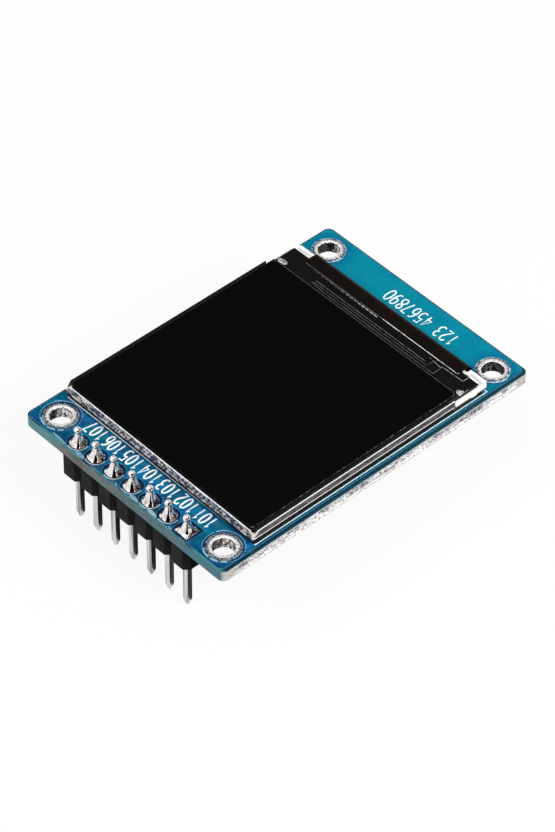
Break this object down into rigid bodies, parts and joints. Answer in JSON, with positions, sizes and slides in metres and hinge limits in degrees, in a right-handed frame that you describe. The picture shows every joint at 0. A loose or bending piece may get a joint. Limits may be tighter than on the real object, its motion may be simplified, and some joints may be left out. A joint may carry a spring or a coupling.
{
  "type": "display module",
  "caption": "Square colour display folded onto a small blue circuit board with corner mounting holes and a straight pin header along one edge.",
  "frame": {"origin": "centre of the four mounting holes, on the board's back face", "axes": "+X along the header towards pin 1 (the square land), +Y from the header to the folded end of the display, +Z out of the screen"},
  "size_m": [0.0278, 0.0392, 0.0118],
  "materials": {
    "board": "glass-fibre board under glossy blue solder mask, bare fibre edges",
    "tinned_copper": "rough hot-air-levelled tin over copper",
    "header_plastic": "black moulded header plastic",
    "pin_metal": "bright tin over brass",
    "solder": "bright hand solder",
    "foam_tape": "black double-sided foam tape",
    "tray_steel": "thin polished stainless sheet",
    "frame_plastic": "white moulded plastic",
    "reflector_film": "white reflector film",
    "clear_acrylic": "clear light guide",
    "optical_film": "translucent optical film",
    "black_tape": "black tape",
    "polarizer": "glossy black polarizing film",
    "panel_glass": "thin glass with black mask behind it",
    "silicon": "dark polished silicon",
    "silver_paste": "dried silver paste",
    "flex_film": "very dark flexible circuit film",
    "led_flex_film": "amber flexible circuit film",
    "led_package": "white package with a yellow window",
    "moulded_epoxy": "black moulding compound",
    "capacitor_ceramic": "tan ceramic",
    "resistor_ceramic": "dark glazed ceramic"
  },
  "bodies": {
    "root": {"board": "board", "hole_ring_1": "tinned_copper", "hole_ring_2": "tinned_copper", "hole_ring_3": "tinned_copper", "hole_ring_4": "tinned_copper", "pin_land_1": "tinned_copper", "pin_land_2": "tinned_copper", "pin_land_3": "tinned_copper", "pin_land_4": "tinned_copper", "pin_land_5": "tinned_copper", "pin_land_6": "tinned_copper", "pin_land_7": "tinned_copper", "header_body": "header_plastic", "pin_1": "pin_metal", "pin_2": "pin_metal", "pin_3": "pin_metal", "pin_4": "pin_metal", "pin_5": "pin_metal", "pin_6": "pin_metal", "pin_7": "pin_metal", "solder_1": "solder", "solder_2": "solder", "solder_3": "solder", "solder_4": "solder", "solder_5": "solder", "solder_6": "solder", "solder_7": "solder", "tape_front": "foam_tape", "tape_left": "foam_tape", "tape_right": "foam_tape", "backlight_tray": "tray_steel", "backlight_frame": "frame_plastic", "reflector": "reflector_film", "light_guide": "clear_acrylic", "diffuser": "optical_film", "prism_film_lower": "optical_film", "prism_film_upper": "optical_film", "shading_tape": "black_tape", "rear_polarizer": "polarizer", "front_polarizer": "polarizer", "tft_glass": "panel_glass", "filter_glass": "panel_glass", "driver_chip": "silicon", "ground_dots": "silver_paste", "flex_circuit": "flex_film", "led_flex": "led_flex_film", "tail_solder": "solder", "led_1": "led_package", "led_2": "led_package", "led_3": "led_package", "regulator_body": "moulded_epoxy", "transistor_body": "moulded_epoxy", "regulator_leads": "pin_metal", "transistor_leads": "pin_metal", "capacitors": "capacitor_ceramic", "resistors": "resistor_ceramic", "chip_caps": "tinned_copper", "chip_solder": "solder"}
  },
  "joints": []
}
